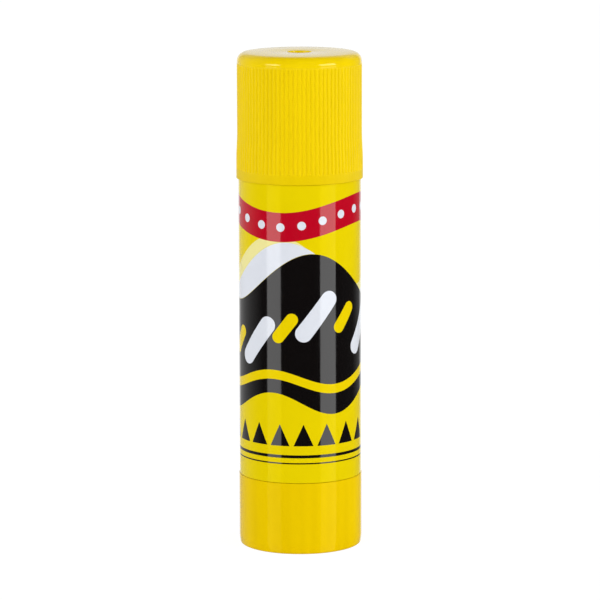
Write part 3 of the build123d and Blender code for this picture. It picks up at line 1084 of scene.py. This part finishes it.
film_points = []
film_shares = []
for step in range(STATIONS + 1):
    share = step / STATIONS
    angle = share * (TURN + lap_turn)
    bearing = angle - math.pi - lap_turn / 2
    inner = film_radius(angle)
    outer = inner + FILM
    for radius, height in ((inner, film_foot), (inner, film_top), (outer, film_top), (outer, film_foot)):
        film_points.append(turned_point(radius, height, bearing))
        film_shares.append((share, (height - film_foot) / film_height))
film_faces = []
for ring in range(0, 4 * STATIONS, 4):
    for corner in range(4):
        after = (corner + 1) % 4
        film_faces.append((ring + corner, ring + 4 + corner, ring + 4 + after, ring + after))
last_ring = 4 * STATIONS
film_faces += [(0, 1, 2, 3), (last_ring + 3, last_ring + 2, last_ring + 1, last_ring)]
label_mesh = bpy.data.meshes.new("label_skin")
label_mesh.from_pydata(film_points, [], film_faces)
strip_map = label_mesh.uv_layers.new(name="strip")
for loop in label_mesh.loops:
    strip_map.data[loop.index].uv = film_shares[loop.vertex_index]
print("label skin:", len(film_faces), "faces")

# %% [markdown]
# ## Label artwork
# The artwork is a plain design of waves: a yellow ground, a broad black wave with leaning bars in it, a
# white crest, a red ribbon and small trim lines. Every motif is a short sum on the strip's two coordinates in
# millimetres: a wave is a sine of the length, and a band is what lies between two levels. Each sum gives a
# mask, which is 1 inside the motif and 0 outside it.

# %% Sums that draw the motifs
SHARPNESS = 25.0

wrap_length = TURN * (FILM_INNER + FILM / 2)


def curve(tree, along, level, height, repeats, phase):
    """A level that waves: level + height * sin(repeats turns + phase)."""
    swing = maths(tree, "MULTIPLY_ADD", along, repeats * TURN / wrap_length, phase)
    return maths(tree, "MULTIPLY_ADD", maths(tree, "SINE", swing), height, level)


def above(tree, value, level):
    """1 where the value lies above the level, with an edge as sharp as print."""
    return maths(tree, "MULTIPLY", maths(tree, "SUBTRACT", value, level), SHARPNESS, clamp=True)


def both(tree, first, second):
    """1 where two masks are both 1."""
    return maths(tree, "MULTIPLY", first, second)


def either(tree, first, *others):
    """1 where any of the masks is 1."""
    for other in others:
        first = maths(tree, "MAXIMUM", first, other)
    return first


def band(tree, value, low, high):
    """1 between two levels."""
    return both(tree, above(tree, value, low), above(tree, high, value))


def near(tree, value, level, half_width):
    """1 within half a width of a level."""
    return above(tree, half_width, maths(tree, "ABSOLUTE", maths(tree, "SUBTRACT", value, level)))


print(f"once round is {wrap_length:.2f} mm")

# %% [markdown]
# A row of motifs needs no copies: the distance to the middle of the nearest one is worked out first, and then
# one motif is drawn in that distance.

# %% Sums that draw rows of bars and dots
def repeated(tree, along, pitch, offset=0.0):
    """Distance from the middle of the nearest of a row of motifs."""
    share = maths(tree, "FRACT", maths(tree, "MULTIPLY_ADD", along, 1 / pitch, offset))
    return maths(tree, "MULTIPLY", maths(tree, "SUBTRACT", share, 0.5), pitch)


def disc(tree, across, up, size):
    """1 inside a disc of that radius."""
    reach = maths(tree, "ADD", maths(tree, "MULTIPLY", across, across), maths(tree, "MULTIPLY", up, up))
    return above(tree, size, maths(tree, "SQRT", reach))


def leaning_bar(tree, across, up, lean, half_length, half_width):
    """1 inside a round-ended bar that leans from the strip's length by an angle in degrees."""
    cosine, sine = math.cos(math.radians(lean)), math.sin(math.radians(lean))
    lengthwise = maths(tree, "MULTIPLY_ADD", across, cosine, maths(tree, "MULTIPLY", up, sine))
    sideways = maths(tree, "MULTIPLY_ADD", across, -sine, maths(tree, "MULTIPLY", up, cosine))
    beyond = maths(tree, "SUBTRACT", maths(tree, "ABSOLUTE", lengthwise), half_length)
    return disc(tree, maths(tree, "MAXIMUM", beyond, 0.0), sideways, half_width)


print("made the sums for rows")

# %% [markdown]
# The strip's coordinates are first stretched to millimetres. The broad wave is a band between two curves. The
# crest is two thinner bands on top of it, and the ripple and the ribbon have an even width along a curve.

# %% Waves
label_film, tree, shader = new_material("label_film", IOR=1.5, Specular_IOR_Level=0.8)
strip = result(tree, "ShaderNodeUVMap", uv_map="strip")
strip_axes = add_node(tree, "ShaderNodeSeparateXYZ", {0: strip}).outputs
along = maths(tree, "MULTIPLY", strip_axes["X"], film_length)
up = maths(tree, "MULTIPLY", strip_axes["Y"], film_height)


def ribbon_level(tree, place):
    """Height of the red ribbon's middle line."""
    return curve(tree, place, level=45.2, height=1.3, repeats=2, phase=-1.2)


crest = curve(tree, along, level=35.0, height=4.4, repeats=2, phase=0.9)
trough = curve(tree, along, level=13.6, height=1.9, repeats=3, phase=-0.6)
spray = curve(tree, along, level=36.8, height=4.6, repeats=2, phase=1.75)
haze = curve(tree, along, level=38.0, height=4.6, repeats=2, phase=2.1)
ripple_level = curve(tree, along, level=17.4, height=1.3, repeats=3, phase=-0.6)
black = band(tree, up, trough, crest)
white_crest = band(tree, up, crest, spray)
pale_crest = band(tree, up, spray, haze)
ripple = near(tree, up, ripple_level, half_width=0.8)
ribbon = near(tree, up, ribbon_level(tree, along), half_width=2.5)
print("waves:", len(tree.nodes), "nodes so far")

# %% [markdown]
# Each bar and dot is set at the height that its wave has at the motif's middle, so none is sheared. The
# bunting is a row of triangles: what lies below a sawtooth line and above its foot.

# %% Bars, dots, bunting and lines
BAR_COUNT = 6
BAR_LEAN = 52
DOT_COUNT = 18
DOT_RADIUS = 0.75
FLAG_COUNT = 16
FLAG_TIP = 10.2
FLAG_SLOPE = 2.2
FLAG_FOOT = 6.4


def bar_row(tree, offset, half_length, half_width):
    """Leaning bars round the stick, each set at the height that the wave has at its middle."""
    across = repeated(tree, along, wrap_length / BAR_COUNT, offset)
    middle = maths(tree, "SUBTRACT", along, across)
    level = curve(tree, middle, level=26.2, height=2.6, repeats=2, phase=0.4)
    over = maths(tree, "SUBTRACT", up, level)
    return leaning_bar(tree, across, over, BAR_LEAN, half_length, half_width)


def dot_row(tree):
    """Round dots along the ribbon, each set at the height of its own middle."""
    across = repeated(tree, along, wrap_length / DOT_COUNT)
    level = ribbon_level(tree, maths(tree, "SUBTRACT", along, across))
    return disc(tree, across, maths(tree, "SUBTRACT", up, level), DOT_RADIUS)


long_bars = bar_row(tree, offset=0.1, half_length=3.6, half_width=1.5)
short_bars = bar_row(tree, offset=0.6, half_length=1.9, half_width=1.1)
dots = dot_row(tree)
off_flag = maths(tree, "ABSOLUTE", repeated(tree, along, wrap_length / FLAG_COUNT))
sawtooth = maths(tree, "MULTIPLY_ADD", off_flag, -FLAG_SLOPE, FLAG_TIP)
bunting = both(tree, above(tree, sawtooth, up), above(tree, up, FLAG_FOOT))
broad_line = near(tree, up, level=4.6, half_width=0.28)
fine_line = near(tree, up, level=3.4, half_width=0.14)
print("all motifs:", len(tree.nodes), "nodes so far")

# %% [markdown]
# The inks are laid over each other as on a press, in the order of the list, on a yellow ground that varies a
# little.

# %% Inks
PALE_INK = (0.860, 0.790, 0.330, 1)
BLACK_INK = (0.004, 0.003, 0.003, 1)
WHITE_INK = (0.740, 0.770, 0.840, 1)
YELLOW_INK = (0.810, 0.610, 0.001, 1)
RED_INK = (0.500, 0.001, 0.014, 1)
GROUND_DEEP = (0.765, 0.596, 0.001, 1)
GROUND_LIGHT = (0.793, 0.624, 0.001, 1)

place = object_place(tree)
dark = either(tree, black, bunting, broad_line, fine_line)
bright = either(tree, white_crest, long_bars)
warm = both(tree, black, either(tree, ripple, short_bars))
ink = blended(tree, noise(tree, place, 7.0, 2.0), GROUND_DEEP, GROUND_LIGHT)
for mask, colour in (
    (pale_crest, PALE_INK),
    (dark, BLACK_INK),
    (bright, WHITE_INK),
    (warm, YELLOW_INK),
    (ribbon, RED_INK),
    (both(tree, ribbon, dots), WHITE_INK),
):
    ink = blended(tree, mask, ink, colour)
plug(tree, shader, Base_Color=ink)
print("inks laid on a yellow ground")

# %% [markdown]
# Yellow ink tints its highlights and the other inks don't, so the specular tint follows the ink. The film
# is glossy, faintly scuffed and very slightly wavy, which bends the long streaks a little.

# %% Gloss, scuffs and waviness
YELLOW_TINT = (0.45, 0.40, 0.01, 1)

plain = maths(tree, "SUBTRACT", either(tree, dark, bright, ribbon), warm, clamp=True)
scuffs = noise(tree, stretched(tree, place, 6.0), 1.1, 4.0)
plug(
    tree, shader,
    Specular_Tint=blended(tree, plain, YELLOW_TINT, WHITE),
    Roughness=ranged(tree, scuffs, 0.3, 0.75, 0.05, 0.12),
    Normal=relief(tree, noise(tree, place, 4.0, 1.0), 0.010),
)
show("label_wrap", tidy(label_mesh, 30), "barrel", "label", label_film, "label_film")

# %% [markdown]
# ## Colour management
# The Standard view keeps colours as they are written.

# %% Finish
bpy.context.scene.view_settings.view_transform = "Standard"
